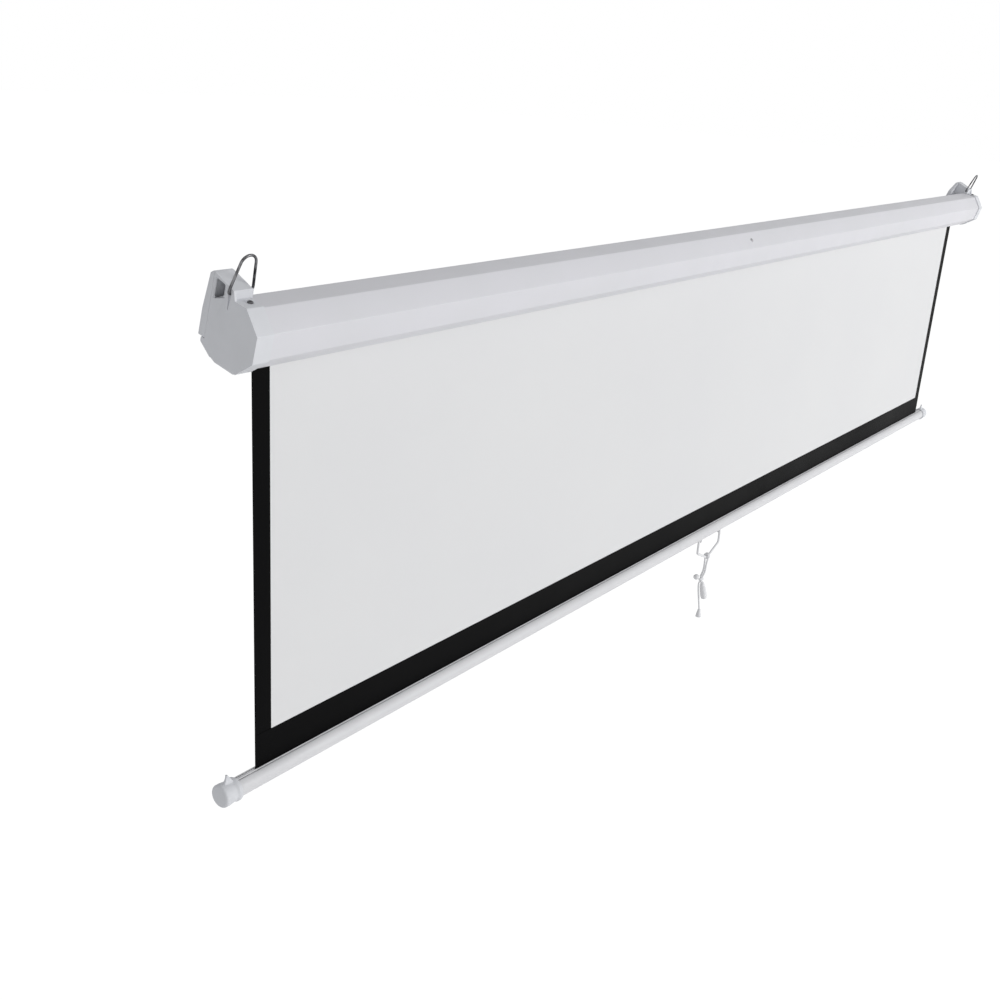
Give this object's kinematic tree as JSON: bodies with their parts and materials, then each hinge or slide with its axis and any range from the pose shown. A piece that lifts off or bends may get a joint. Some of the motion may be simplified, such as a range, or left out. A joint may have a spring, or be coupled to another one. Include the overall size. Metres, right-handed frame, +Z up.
{
  "type": "pull down projector screen",
  "caption": "Manual pull down projector screen: octagonal steel case with a spring roller, a black-bordered white sheet, and a round weight bar with a pull handle and cord.",
  "frame": {"origin": "midway along the line through the pivots of the two wire loops that the case hangs by", "axes": "+X along the case to the viewer's right, +Y away from the viewer towards the wall, +Z up; the sheet hangs along -Z"},
  "size_m": [2.372, 0.0869, 0.7955],
  "materials": {
    "case_paint": "satin",
    "bar_paint": "satin",
    "cap_plastic": "satin",
    "fitting_plastic": "satin",
    "sheet_fabric": "matte",
    "border_fabric": "matte",
    "bright_steel": "satin",
    "dark_steel": "satin",
    "brass": "satin",
    "cord_fibre": "matte"
  },
  "bodies": {
    "case": {"case_shell": "case_paint", "front_rivet": "dark_steel", "left_end_cap": "cap_plastic", "right_end_cap": "cap_plastic", "left_wall_plate": "cap_plastic", "right_wall_plate": "cap_plastic", "left_cap_screw": "dark_steel", "right_cap_screw": "dark_steel", "left_plate_screw_1": "dark_steel", "right_plate_screw_1": "dark_steel", "left_plate_screw_2": "dark_steel", "right_plate_screw_2": "dark_steel", "idle_pin": "bright_steel", "spring_collar": "bright_steel", "torsion_spring": "dark_steel", "spring_spindle": "bright_steel", "ratchet_disc": "bright_steel", "sheet_feed": "sheet_fabric"},
    "roller": {"roller_tube": "bright_steel", "wound_sheet": "sheet_fabric", "spring_plug": "fitting_plastic", "idle_plug": "fitting_plastic", "idle_bush": "brass", "spring_anchor": "fitting_plastic", "upper_pawl_pin": "brass", "lower_pawl_pin": "brass"},
    "upper_pawl": {"upper_pawl": "bright_steel"},
    "lower_pawl": {"lower_pawl": "bright_steel"},
    "left_loop": {"left_hanging_loop": "dark_steel"},
    "right_loop": {"right_hanging_loop": "dark_steel"},
    "screen": {"screen_sheet": "sheet_fabric", "left_border": "border_fabric", "right_border": "border_fabric"},
    "bar": {"bottom_border": "border_fabric", "weight_bar": "bar_paint", "hem_strip": "fitting_plastic", "left_bar_cap": "fitting_plastic", "right_bar_cap": "fitting_plastic", "left_handle_eye": "fitting_plastic", "right_handle_eye": "fitting_plastic"},
    "handle": {"pull_handle": "fitting_plastic"},
    "cord": {"pull_cord": "cord_fibre", "pull_cord_return": "cord_fibre", "pull_cord_tail": "cord_fibre", "cord_knot": "cord_fibre", "cord_bead": "fitting_plastic", "cord_toggle": "fitting_plastic", "tail_knob": "fitting_plastic"}
  },
  "joints": [
    {"name": "screen_swing", "type": "hinge", "parent": "case", "child": "screen", "pos_m": [0, 0.0174, -0.07194], "axis": [1, 0, 0], "range_deg": [-10, 14.8]},
    {"name": "screen_drop", "type": "slide", "parent": "screen", "child": "bar", "axis": [0, 0, -1], "range_m": [-0.44, 0.855], "deforming": ["screen_sheet", "left_border", "right_border"]},
    {"name": "roller_spin", "type": "hinge", "parent": "case", "child": "roller", "pos_m": [0, 0, -0.04137], "axis": [1, 0, 0], "continuous": true},
    {"name": "upper_pawl_swing", "type": "hinge", "parent": "roller", "child": "upper_pawl", "pos_m": [-1.1401, -0.00281, -0.03074], "axis": [1, 0, 0], "range_deg": [0, 30]},
    {"name": "lower_pawl_swing", "type": "hinge", "parent": "roller", "child": "lower_pawl", "pos_m": [-1.1401, 0.00281, -0.05201], "axis": [1, 0, 0], "range_deg": [0, 30]},
    {"name": "left_loop_swing", "type": "hinge", "parent": "case", "child": "left_loop", "pos_m": [-1.161, 0, 0], "axis": [1, 0, 0], "range_deg": [-30, 82]},
    {"name": "right_loop_swing", "type": "hinge", "parent": "case", "child": "right_loop", "pos_m": [1.161, 0, 0], "axis": [1, 0, 0], "range_deg": [-30, 82]},
    {"name": "handle_swing", "type": "hinge", "parent": "bar", "child": "handle", "pos_m": [0, 0.0174, -0.58772], "axis": [1, 0, 0], "range_deg": [-80, 80]},
    {"name": "cord_swing", "type": "hinge", "parent": "handle", "child": "cord", "pos_m": [0, 0.0174, -0.62922], "axis": [1, 0, 0], "range_deg": [-80, 80]}
  ],
  "couplings": [
    {"joint": "roller_spin", "follows": "screen_drop", "rad_per_m": -57.471},
    {"joint": "cord_swing", "follows": "handle_swing", "ratio": -1}
  ]
}
